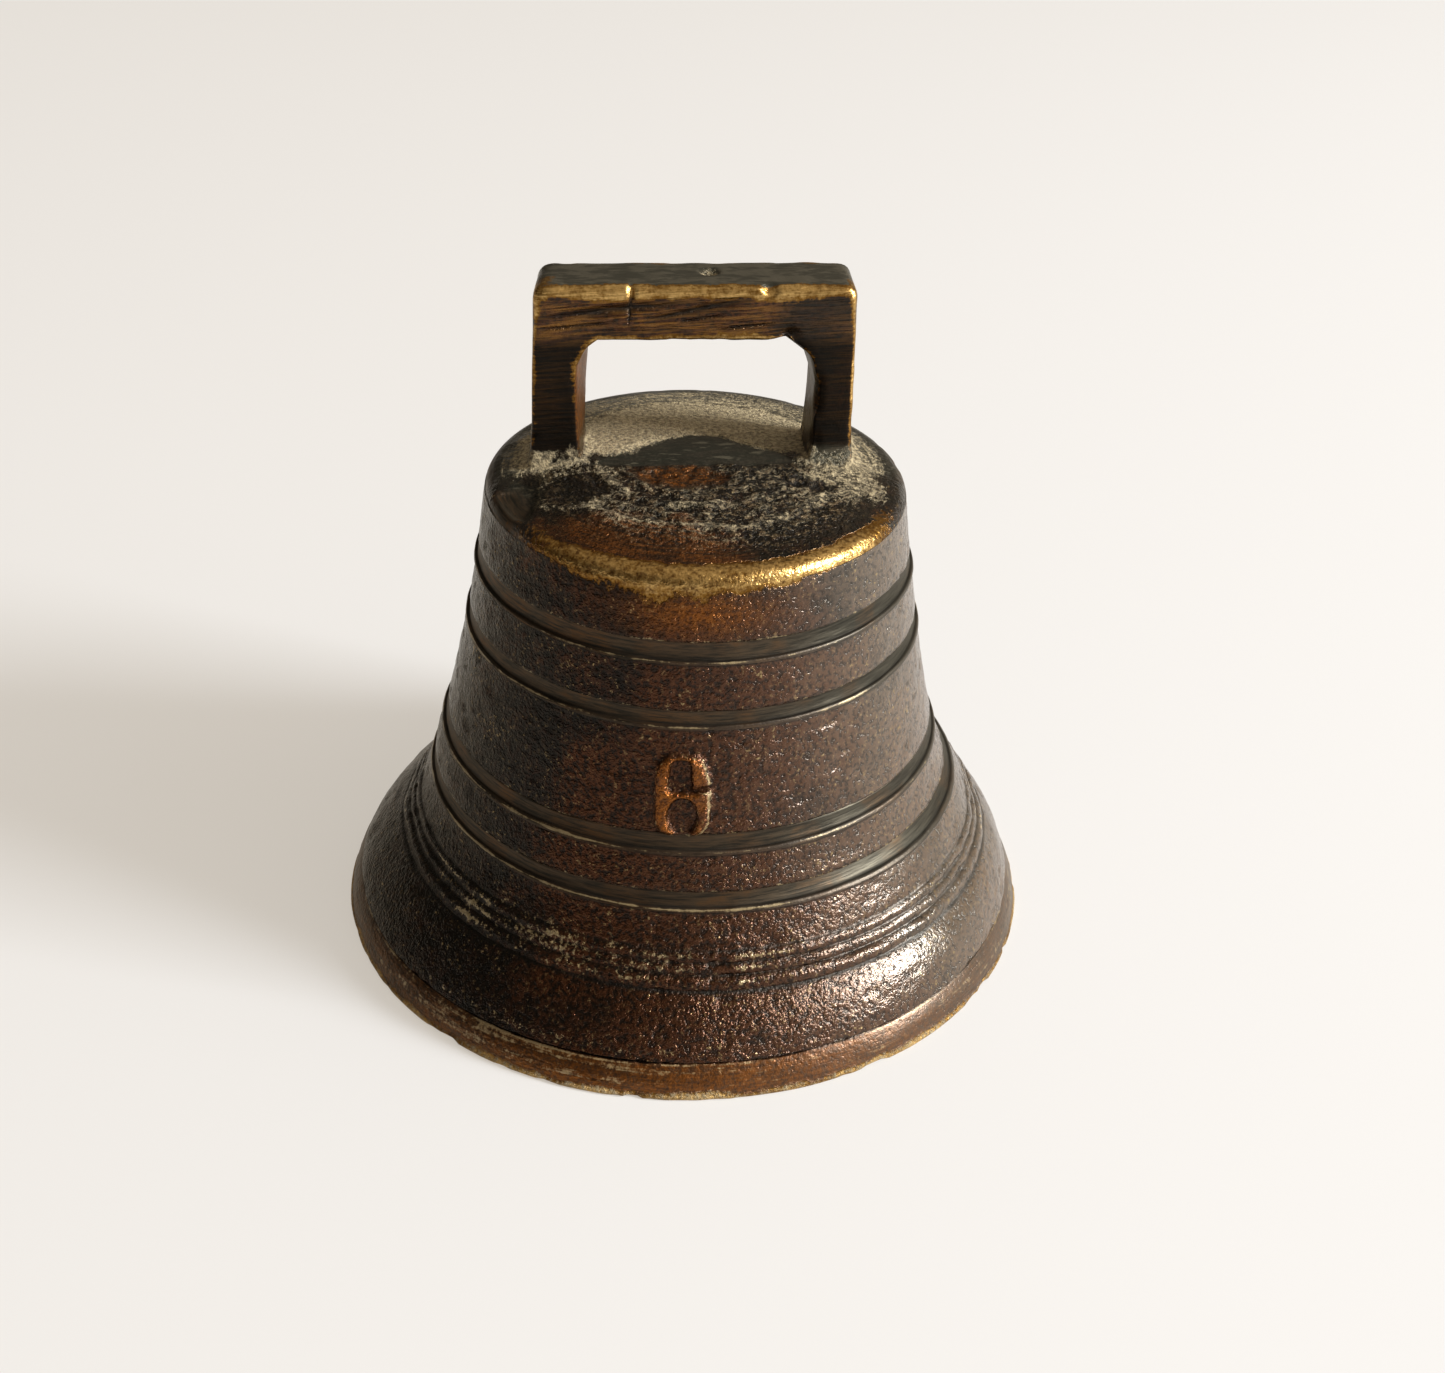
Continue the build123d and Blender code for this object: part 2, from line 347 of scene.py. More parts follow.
rise += rough * (0.2 * ridges * (1 + 0.8 * sand(1.4, 24)) + 0.24 * grit)
rise -= 0.2 * left_hollow + 0.3 * right_hollow + 0.22 * orange + 0.55 * flat_shoulder
rise -= lens * (0.08 + 0.2 * rises(0, 1, (lens_back - across_y) / 6))
rise += 0.04 * sand(2.5, 25)
groove_radius = 13.9 + 0.3 * sand(8.0, 12)
rise -= (1 - front) * hump(reach, groove_radius, 0.35) * 0.08
body_points[:, 2] += np.where(on_crown, rise * falls(18.4, 19.6, reach), 0)
push -= on_crown * rises(18.2, 19.2, reach) * 0.07 * rises(0.3, 0.9, sand(2.2, 26))

# inside, the bronze came up round the staple's legs in a low collar
staple_half = 4.2
past_leg = np.maximum(np.hypot(abs(across_x) - staple_half, across_y) - 1.5, 0)
body_points[:, 2] -= 0.7 * inside * (level > 40) * np.exp(-past_leg / 0.5)

# where the patina is rubbed through, where dust lies and where the metal is redder, with painted
# shade in creases and hollows, a painted highlight on the numeral's flanks and the side towards the
# window, which is painted paler
below_edge = np.maximum(crown_height - 0.3 - level, 0) * wall
inward = np.maximum(crown_radius - 0.85 - reach, 0) * on_crown
gold_depth = 0.6 + 1.5 * hump(front_turn, -10, 34.0)
gold_depth *= 1 + 0.14 * sand(4.0, 13) + 0.2 * sand(1.2, 19)
gold = 1.15 * np.exp(-((below_edge / np.maximum(gold_depth, 0.2)) ** 2) * 0.75)
gold *= 0.5 + 0.5 * rises(-60, -12, front_turn)
gold *= np.exp(-((front_turn / 64.0) ** 6)) * ~inside * falls(0.1, 1.3, inward + 0.2 * ragged)
mouth_gold = falls(0.3, 1.1, level + 0.25 * sand(1.6, 14)) * ~inside
mouth_gold *= 0.8 + 0.2 * rises(-0.6, 0.3, sand(6.0, 27))
gold = np.clip(np.maximum(gold, mouth_gold), 0, 1)
strike_level = 7.5
strike = inside * hump(level, strike_level, 2.2) * hump(across_x, 0, 7.0)

lens_bare = lens * rises(-0.2, 1.8, lens_back - across_y + 0.25 * ragged)
lens_bare *= 0.35 + 0.65 * rises(-7.0, -3.0, across_x + 0.6 * ragged)
dust = 1.25 * falls(12.5, 15.0, reach) * (1 - lens_bare) * rises(0.3, 3.0, across_y)
# dust on the turned ring behind the loop, partly a painted reflection at the crown's back edge
dust += 0.5 * (1 - front) * rises(13.0, 14.8, reach) * falls(17.2, 19.2, reach)
dust += 0.95 * rises(0.25, 0.9, foot_mound)
dust += 0.75 * patch((13.3, -3.4), (4.7, 5.4), 0.15) * (1 - patch((10.4, -5.0), (3.2, 2.0), -0.2))
dust += 0.6 * patch((-11.6, -4.6), (5.1, 4.8), 0.5) * (1 - patch((-11.3, -4.2), (4.4, 3.9), 0.5))
dust += rough * (0.17 + 0.62 * np.clip(ridges, 0, 1) * rises(-0.8, 0.5, sand(2.2, 28)))
dust *= (1 - 0.7 * orange) * (1 - 0.92 * lens_bare) * (1 - flat_shoulder)
dust *= 1 - 0.75 * np.maximum(left_hollow, right_hollow)
dust = np.where(on_crown, np.clip(dust, 0, 1), 0.42 * mouth_gold)
dust += 0.8 * inside * rises(38.5, 43.0, level) * rises(-0.2, 0.6, sand(5.0, 15))

smooth_crown = np.maximum.reduce((rises(13.6, 14.8, reach) * (1 - front), lens, flat_shoulder))
turned = np.clip(np.where(on_crown, smooth_crown, turned), 0, 1)
crust = on_crown * front * falls(14.5, 18.2, reach) * (1 - 0.4 * orange) * (1 - lens)
crust *= 0.6 + 0.4 * rises(-12.0, -4.0, across_x)

warm = 0.42 + 0.5 * sand(11.0, 16) + 0.25 * sand(4.0, 17)
# painted shade: less red towards the left, the side away from the window
warm += 0.55 * hump(front_turn, 12, 44.0) - 0.75 * hump(front_turn, -82, 38.0)
warm += 0.5 * wall * hump(level, 43.0, 2.5) * hump(front_turn, 2, 20)
warm = np.where(on_crown, 0.25 + 0.9 * patch((-6.0, -14.2), (11.5, 5.2), -0.3), warm)
warm = np.clip(np.where(inside, 0.3 + 0.3 * sand(6.0, 18), warm), 0, 1)
mouth_lip = wall * falls(mouth_lip_top, mouth_lip_top + 0.05, level)
numeral_side = across_y * cos(numeral_angle) - across_x * sin(numeral_angle)
numeral_copper = 0.95 - 0.5 * rises(0.6, 2.2, numeral_side) + 0.2 * sand(1.2, 43)
under_gold = wall * hump(level, 43.2, 2.0) * hump(front_turn, -1, 17.0)
red_parts = (
    orange,
    numeral_copper * rises(0.3, 0.8, relief) * wall,
    mouth_lip * (0.18 + 0.72 * hump(front_turn, -5, 38.0)),
    0.75 * under_gold,
    0.6 * on_crown * patch((-6.0, -14.2), (10.5, 4.6), -0.3),
)
# painted shade in the creases and in the crown's two hollows
crease_and_hollow_shade = np.clip(undercut + on_crown * 0.45 * (left_hollow + right_hollow), 0, 1)

bead_wear = rises(-0.4, 0.8, sand(3.0, 20))
lip_wear = 0.85 + 0.35 * lumps(body_points * (1, 1, 0.2), 6.0, 44) - 0.6 * rises(0, 50, front_turn)
rubbed_edge_and_highlight = (0.4 + 0.3 * sand(3.0, 45)) * hump(level, mouth_lip_top - 0.05, 0.09)
for band_top, band_foot in bands:
    rubbed_edge_and_highlight += lip_wear * hump(level, band_foot + 0.27, 0.11) + 0.55 * hump(level, band_top, 0.11)
for bead_top in (ridge_top, *bead_tops):
    rubbed_edge_and_highlight += 0.75 * hump(level, bead_top - 0.4, 0.2) * bead_wear
left_front = hump(front_turn, -28, 34.0)
rubbed_edge_and_highlight += 0.5 * left_front * (hump(level, 10.6, 2.2) + hump(level, 4.1, 0.5))
rubbed_edge_and_highlight += mouth_lip * (0.28 + 0.2 * left_front) * rises(0.8, 1.4, level)
# painted highlight: the numeral's flanks are painted pale, more so on its right, towards the window
numeral_flank = rises(0.1, 0.4, relief) * falls(0.75, 0.98, relief)
rubbed_edge_and_highlight += numeral_flank * (0.4 + 0.5 * rises(1.4, 2.4, numeral_side))
rubbed_edge_and_highlight = np.clip(rubbed_edge_and_highlight, 0, 1) * wall
# the side towards the window: the finish makes it smoother and shinier, and paints it paler as
# painted light
handled = rises(-30, 75, front_turn) * falls(110, 170, front_turn)
handled = np.where(inside, 0.35, np.where(on_crown, 0.2, handled * (1 - 0.6 * under_gold)))

body_points = body_points + outward(body_points, body_faces) * push[:, None]
# the mould's halves were a little out of line, and the mouth isn't quite round
mould_slip = 0.8
body_points[:, 0] += mould_slip * rises(3.0, 9.0, level) * falls(13.0, 18.5, level)
drawn_in = 0.65 * hump(front_turn, -122, 34.0) + 0.28 * hump(front_turn, 80, 30.0)
drawn_in *= np.exp(-((level / 9.5) ** 4)) * ~inside
body_points[:, :2] *= 1 - (drawn_in / rim_radius)[:, None]
mouth_bulge = 0.5 * hump(front_turn, -28, 38.0) * falls(2.0, 6.5, level) * ~inside
body_points[:, :2] *= 1 + (mouth_bulge / rim_radius)[:, None]

bronze_fields = ["turned", "undercut", "edge", "gold", "dust", "warm", "copper", "inside", "strike"]
bronze_fields += ["handled", "crust", "loop", "kept"]


def bronze_mesh(name, points, faces, **marks):
    """A mesh with every field that the bell's finish reads, 0 where none is given."""
    fields = {field: np.zeros(len(points)) + marks.get(field, 0) for field in bronze_fields}
    return named_mesh(name, points, faces, fields | {"kept": np.ones(len(points))})


body_mesh = bronze_mesh(
    "bell_body",
    body_points,
    body_faces,
    turned=turned,
    undercut=crease_and_hollow_shade,
    edge=rubbed_edge_and_highlight,
    gold=gold,
    dust=dust,
    warm=warm,
    copper=np.maximum.reduce(red_parts),
    inside=inside,
    strike=strike,
    handled=handled,
    crust=crust,
)

# the loop: rings of points from the left foot over the bridge to the right foot
loop_front = -0.2
loop_depth = 6.4
loop_foot = 45.2
loop_top = 65.7
edge_steps = 4
face_steps = (20, 11)


def bent(corners, radius, step):
    """Points along straight runs with rounded corners, so many of them or a step apart."""
    corners = [np.array(corner, dtype=float) for corner in corners]
    line = [corners[0]]
    for before, corner, after in zip(corners, corners[1:], corners[2:]):
        into = corner + (before - corner) / np.linalg.norm(before - corner) * radius
        out = corner + (after - corner) / np.linalg.norm(after - corner) * radius
        for part in np.linspace(0, 1, 7):
            line.append(into * (1 - part) ** 2 + corner * 2 * part * (1 - part) + out * part**2)
    line = np.array([*line, corners[-1]])
    travelled = np.r_[0, np.cumsum(np.hypot(*np.diff(line, axis=0).T))]
    count = step if isinstance(step, int) else max(2, round(travelled[-1] / step))
    along = np.linspace(0, travelled[-1], count + 1)
    return np.stack([np.interp(along, travelled, way) for way in line.T], axis=-1)


def loop_face(left_leg, left_corner, right_corner, right_leg, left_out, right_out):
    """The outer and inner lines of one face of the loop, ring by ring."""
    above_left = (left_corner[-1][0], loop_top)
    above_right = (right_corner[0][0], loop_top)
    spans = [
        (left_out[:2], left_leg, 0.5, 40),
        ([*left_out[1:], above_left], left_corner, 1.5, 36),
        ([above_left, above_right], [left_corner[-1], right_corner[0]], 0.5, 64),
        ([above_right, *right_out[:2]], right_corner, 1.5, 36),
        (right_out[1:], right_leg, 0.5, 36),
    ]
    outer = [bent(outside, radius, count)[:-1] for outside, within, radius, count in spans]
    inner = [bent(within, 0.7, count)[:-1] for outside, within, radius, count in spans]
    return np.concatenate((*outer, [right_out[2]])), np.concatenate((*inner, [right_leg[-1]]))


front_outer, front_inner = loop_face(
    [(-10.9, loop_foot), (-11.3, 54.5), (-11.3, 57.8)],
    [(-11.3, 57.8), (-10.6, 59.5), (-9.4, 60.45)],
    [(8.0, 60.45), (10.4, 58.6), (11.0, 56.0)],
    [(11.0, 56.0), (10.9, 52.0), (10.6, loop_foot)],
    [(-15.75, loop_foot), (-15.35, 60.4), (-15.2, loop_top)],
    [(14.4, loop_top), (14.5, 59.0), (14.75, loop_foot)],
)
back_outer, back_inner = loop_face(
    [(-10.4, loop_foot), (-10.2, 54.5), (-10.0, 57.3)],
    [(-10.0, 57.3), (-9.5, 59.0), (-8.6, 60.2)],
    [(7.8, 60.2), (10.2, 57.8), (10.9, 55.5)],
    [(10.9, 55.5), (10.9, 52.0), (10.8, loop_foot)],
    [(-15.2, loop_foot), (-14.8, 60.4), (-14.6, loop_top)],
    [(14.5, loop_top), (14.6, 59.0), (14.9, loop_foot)],
)


def flat_bar_ring(width, radii):
    """A flat bar's section: across from the inner edge to the outer, and back from the front."""
    corners = [(width, 0.0), (width, loop_depth), (0.0, loop_depth), (0.0, 0.0)]
    points = []
    for index, ((across, back), radius) in enumerate(zip(corners, radii)):
        middle_across = across + (radius if across == 0 else -radius)
        middle_back = back + (radius if back == 0 else -radius)
        for part in np.linspace(0, 1, edge_steps + 1):
            turn = (index - 1 + part) * pi / 2
            points.append((middle_across + radius * cos(turn), middle_back + radius * sin(turn)))
    ring = []
    for index, here in enumerate(points):
        ring.append(here)
        side, place = divmod(index, edge_steps + 1)
        if place == edge_steps:
            after = points[(index + 1) % len(points)]
            for part in np.linspace(0, 1, face_steps[side % 2] + 1)[1:-1]:
                ring.append(tuple(np.array(here) * (1 - part) + np.array(after) * part))
    return np.array(ring)


loop_points, from_outer, from_front = [], [], []
for near_out, near_in, far_out, far_in in zip(front_outer, front_inner, back_outer, back_inner):
    width = np.linalg.norm(near_out - near_in)
    upper = rises(57.0, 64.0, near_out[1])
    ring = flat_bar_ring(width, (0.5 + 0.35 * upper, 0.45 + 0.25 * upper, 0.25, 0.3))
    part_across = ring[:, :1] / width
    part_back = ring[:, 1:] / loop_depth
    near = near_in * (1 - part_across) + near_out * part_across
    far = far_in * (1 - part_across) + far_out * part_across
    flat = near * (1 - part_back) + far * part_back
    loop_points.append(np.stack((flat[:, 0], loop_front + ring[:, 1], flat[:, 1]), axis=-1))
    from_outer.append(width - ring[:, 0])
    from_front.append(ring[:, 1])
ring_size = len(loop_points[0])
loop_points = np.concatenate(loop_points)
from_outer, from_front = np.concatenate(from_outer), np.concatenate(from_front)
loop_faces = [face[::-1] for face in ring_faces(len(front_outer), ring_size)]
loop_x, loop_z = loop_points[:, 0], loop_points[:, 2]
loop_width = np.repeat(np.linalg.norm(front_outer - front_inner, axis=1), ring_size)
from_inner = loop_width - from_outer
from_back = loop_depth - from_front


def filed(size, seed):
    """The unevenness that the file left, at the loop's points."""
    return lumps(loop_points, size, seed)


outer_back = np.hypot(from_outer, from_back)
inner_front = np.hypot(from_inner, from_front)
inner_back = np.hypot(from_inner, from_back)
outer_front = np.hypot(from_outer, from_front)
bridge = rises(59.5, 61.5, loop_z)
fray = 0.3 * filed(2.6, 31) + 0.15 * filed(0.9, 32)
leg_narrowing = 3.2 - 2.2 * rises(59.0, 63.5, loop_z)
left_side = falls(-9.0, -7.0, loop_x)
edge_gold = 0.45 + 0.65 * bridge * falls(6.5, 8.5, loop_x) + 0.25 * left_side * (1 - bridge)
left_corner = falls(0.8, 2.6, np.hypot(loop_x + 15.2, loop_z - 65.5) + fray)
right_corner = falls(0.4, 1.6, np.hypot(loop_x - 14.5, loop_z - 65.3) + fray)
right_side = falls(0.0, 0.5, from_outer) * rises(8.0, 10.0, loop_x)
right_side *= rises(49.0, 60.0, loop_z) * falls(64.0, 65.0, loop_z)
worn_parts = (
    falls(0.7, 1.9, leg_narrowing * from_outer + 2.0 * from_front + fray),
    0.75 * falls(0.3, 1.0, outer_back + fray),
    edge_gold * falls(0.25, 0.95, inner_front + fray * 0.5),
    0.4 * falls(0.1, 0.5, inner_back + fray),
    0.75 * falls(1.5, 4.5, from_front) * np.maximum(left_corner, right_corner),
    0.55 * right_side,
)
worn_height = loop_z + 4.0 * rises(0.0, 2.0, loop_x)
loop_gold = np.maximum.reduce(worn_parts) * (0.35 + 0.65 * rises(52.0, 61.0, worn_height))
inner_face = falls(0.0, 0.35, from_inner)
loop_copper = 0.9 * inner_face * falls(-11.0, -8.5, loop_x) * rises(49.0, 51.0, loop_z)
top_face = falls(0.0, 0.3, from_outer) * rises(64.6, 65.2, loop_z)
front_face = falls(0.0, 0.3, from_front)
foot_dust = falls(48.5, 50.0, loop_z + 0.5 * filed(1.0, 33))
loop_dust = 0.8 * foot_dust * (0.3 + 0.7 * rises(-0.4, 0.5, filed(1.3, 34)))
loop_warm = 0.25 + 0.3 * filed(5.0, 38)
loop_warm += 0.75 * front_face * bridge * falls(5.0, 9.0, loop_x)
right_foot = front_face * rises(0.0, 2.0, loop_x) * falls(49.4, 50.2, loop_z)
# the legs' front faces are darker, and the right leg's inner face, turned away from the window, is
# painted with shade
loop_shade_and_dark = (front_face - right_foot) * (1 - bridge) * 0.85
loop_shade_and_dark += 0.55 * inner_face * rises(7.0, 9.0, loop_x)

loop_push = 0.05 * filed(5.0, 35) + 0.025 * filed(1.5, 36)
near_edge = falls(0.3, 1.0, np.minimum(np.minimum(outer_front, outer_back), inner_front))
loop_push -= near_edge * 0.06 * rises(0.2, 0.9, filed(2.0, 37))
loop_push -= falls(0.2, 1.2, inner_front) * rises(6.0, 8.0, loop_x) * 0.15 * (1 + filed(1.8, 39))


def dent(middle, size, depth):
    """A dent round a point of the loop."""
    away = np.linalg.norm((loop_points - middle) / size, axis=1)
    return depth * falls(0.3, 1.0, away)


blowhole = dent((1.0, 3.6, 65.7), (1.15, 1.15, 0.8), 0.5)  # in the loop's top, full of dust
dents = dent((-6.3, -0.2, 65.3), (0.4, 1.2, 1.3), 0.5)  # a nick filed across the top edge
dents += dent((6.3, 0.0, 65.4), (1.0, 1.3, 0.8), 0.45)  # a knock in the same edge
dents += blowhole
dents += dent((-15.2, -0.2, 50.6), (0.4, 0.6, 0.8), 0.3)
dents += dent((8.4, -0.2, 60.9), (1.2, 0.9, 0.9), 0.35)
loop_dust += 1.1 * blowhole
loop_push -= dents


def file_cut(start, end, width, depth):
    """A cut that a coarse file left across the loop's front face, between two points of x and z."""
    place = np.stack((loop_x, loop_z), axis=-1) - start
    run = np.array(end) - start
    part = np.clip(place @ run / (run @ run), 0, 1)
    away = np.hypot(*(place - part[:, None] * run).T)
    return front_face * depth * hump(away, 0, width) * (0.35 + 0.65 * np.sin(pi * part))


cuts = np.zeros(len(loop_points))
for start, end, width, depth in [
    ((-15.2, 62.6), (-0.2, 64.3), 0.26, 0.34),
    ((-5.0, 62.3), (4.6, 64.5), 0.3, 0.4),
    ((-10.9, 62.8), (-5.0, 63.8), 0.24, 0.24),
    ((-2.0, 62.2), (2.4, 63.0), 0.2, 0.2),
    ((-6.6, 61.9), (-6.3, 64.9), 0.2, 0.24),
    ((-14.8, 61.5), (-7.6, 62.2), 0.22, 0.22),
    ((-12.5, 60.8), (-1.0, 61.6), 0.22, 0.2),
    ((1.0, 61.4), (7.5, 62.2), 0.2, 0.14),
]:
    cuts += file_cut(start, end, width, depth)
loop_push -= cuts
# painted shade in the file cuts and dents
loop_shade_and_dark = np.clip(loop_shade_and_dark + 3.2 * cuts + 0.3 * dents, 0, 1)
loop_gold = np.clip(loop_gold - 1.8 * cuts, 0, 1)

loop_points = loop_points + outward(loop_points, loop_faces) * loop_push[:, None]
flare = np.exp(-np.maximum(loop_z - 48.4, 0) / 0.8)
loop_points[:, 0] += np.sign(from_inner - from_outer) * np.sign(loop_x) * flare * 0.25
loop_points[:, 1] -= falls(0.0, 3.0, from_front) * flare * (0.2 + 0.6 * rises(0.0, 1.0, loop_x))
loop_points[:, 1] += falls(0.0, 2.0, from_back) * flare * 0.25

loop_mesh = bronze_mesh(
    "loop",
    loop_points,
    loop_faces,
    turned=np.maximum(top_face, right_foot),
    undercut=loop_shade_and_dark,
    gold=loop_gold,
    dust=np.clip(loop_dust + 0.05 * top_face, 0, 1),
    warm=np.clip(loop_warm, 0, 1),
    copper=loop_copper,
    handled=0.25 * bridge,
    loop=1,
)


def placed(name, data):
    """An object in the scene, made from a mesh, a light or a camera."""
    piece = bpy.data.objects.new(name, data)
    bpy.context.scene.collection.objects.link(piece)
    return piece


def heal_seam(mesh, fields):
    """Gives the new points along a seam the fields of the points beside them, and smooths it."""
    count = len(mesh.vertices)
    edges = np.empty(len(mesh.edges) * 2, dtype=np.int64)
    mesh.edges.foreach_get("vertices", edges)
    edges = edges.reshape(-1, 2)
    places = np.empty(count * 3, dtype=np.float32)
    mesh.vertices.foreach_get("co", places)
    places = places.reshape(-1, 3)

    def beside(amounts):
        """The sum of an amount over the points beside each point."""
        total = np.zeros(amounts.shape)
        for start, end in (edges.T, edges.T[::-1]):
            np.add.at(total, start, amounts[end])
        return total

    values = {}
    for field in fields:
        values[field] = np.empty(count, dtype=np.float32)
        mesh.attributes[field].data.foreach_get("value", values[field])
    new = values["kept"] < 0.5
    known = ~new
    for _ in range(4):
        weight = beside(known)
        fill = new & (weight > 0)
        for field in fields:
            values[field][fill] = (beside(values[field] * known) / np.maximum(weight, 1))[fill]
        known = known | (weight > 0)
    for field in fields:
        mesh.attributes[field].data.foreach_set("value", values[field])
    near = new
    for _ in range(2):
        near = near | (beside(near) > 0)
    neighbours = beside(np.ones(count))[:, None]
    for _ in range(3):
        places[near] = places[near] * 0.5 + (beside(places) / neighbours)[near] * 0.5
    mesh.vertices.foreach_set("co", places.ravel())
    mesh.update()


def joined(name, first_mesh, second_mesh, fields):
    """One closed mesh from two that run into each other."""
    first, second = placed("first", first_mesh), placed("second", second_mesh)
    union = first.modifiers.new("union", "BOOLEAN")
    union.operation = "UNION"
    union.solver = "MANIFOLD"
    union.object = second
    shown = first.evaluated_get(bpy.context.evaluated_depsgraph_get())
    mesh = bpy.data.meshes.new_from_object(shown)
    mesh.name = name
    bpy.data.objects.remove(first)
    bpy.data.objects.remove(second)
    heal_seam(mesh, fields)
    return mesh


bell = placed("bell", joined("bell", body_mesh, loop_mesh, bronze_fields))


class Value:
    """A node's output that sums can be written with."""

    def __init__(self, finish, socket):
        self.finish = finish
        self.socket = socket

    def sum_with(self, operation, other, swapped=False):
        pair = (other, self) if swapped else (self, other)
        return self.finish.node("Math", {"operation": operation}, dict(enumerate(pair)))

    def __add__(self, other):
        return self.sum_with("ADD", other)

    def __sub__(self, other):
        return self.sum_with("SUBTRACT", other)

    def __mul__(self, other):
        return self.sum_with("MULTIPLY", other)

    def __rsub__(self, other):
        return self.sum_with("SUBTRACT", other, swapped=True)

    __radd__ = __add__
    __rmul__ = __mul__

    def most(self, other):
        return self.sum_with("MAXIMUM", other)

    def step(self, low, high):
        """A soft step from 0 at low to 1 at high."""
        settings = {"interpolation_type": "SMOOTHSTEP"}
        inputs = {"Value": self, "From Min": low, "From Max": high}
        return self.finish.node("MapRange", settings, inputs)


class Finish:
    """The nodes that give a material, or the room's light, its look."""

    def __init__(self, owner, constants=None, place="Object"):
        owner.use_nodes = True
        self.owner = owner
        self.tree = owner.node_tree
        self.shader = next(node for node in self.tree.nodes if "Output" not in node.name)
        for socket, value in (constants or {}).items():
            self.feed(self.shader.inputs[socket], value)
        self.place = self.node("TexCoord", {}, {}, place)
        self.color = None

    def node(self, kind, settings, inputs, output=0):
        node = self.tree.nodes.new("ShaderNode" + kind)
        for name, value in settings.items():
            setattr(node, name, value)
        for name, value in inputs.items():
            self.feed(node.inputs[name], value)
        return Value(self, node.outputs[output])

    def feed(self, socket, value):
        if isinstance(value, Value):
            self.tree.links.new(value.socket, socket)
        elif socket.type == "RGBA":
            socket.default_value = (*value, 1.0)
        else:
            socket.default_value = value

    def axes(self, vector):
        """The x, y and z of a vector, as three values."""
        split = self.node("SeparateXYZ", {}, {0: vector}).socket.node
        return [Value(self, socket) for socket in split.outputs]

    def field(self, name):
        return self.node("Attribute", {"attribute_name": name}, {}, "Fac")

    def grain(self, size, detail=3.0, rough=0.55, stretch=(1, 1, 1), place=None):
        """Noise around 0.5 whose lumps are about size millimetres long."""
        place = place or self.place
        if stretch != (1, 1, 1):
            settings = {"operation": "MULTIPLY"}
            place = self.node("VectorMath", settings, {0: place, 1: stretch})
        inputs = {"Vector": place, "Scale": 1000.0 / size, "Detail": detail, "Roughness": rough}
        return self.node("TexNoise", {}, inputs)

    def mix(self, factor, first, second):
        inputs = {0: factor, 6: first, 7: second}
        return self.node("Mix", {"data_type": "RGBA"}, inputs, 2)

    def coat(self, factor, tone):
        """Lays a tone over the colours before it, as thickly as the factor says."""
        self.color = self.mix(factor, self.color, tone)

    def bump(self, height, depth, normal=None):
        """A Bump node whose full height is depth millimetres."""
        inputs = {"Height": height, "Distance": depth * 0.001, "Strength": 1.0}
        if normal:
            inputs["Normal"] = normal
        return self.node("Bump", {}, inputs)

    def finished(self, **sockets):
        """Links the shader's sockets, with the laid colour as its base, and returns the owner."""
        if self.color:
            sockets["base color"] = self.color
        for name, value in sockets.items():
            self.feed(self.shader.inputs[name.title()], value)
        return self.owner


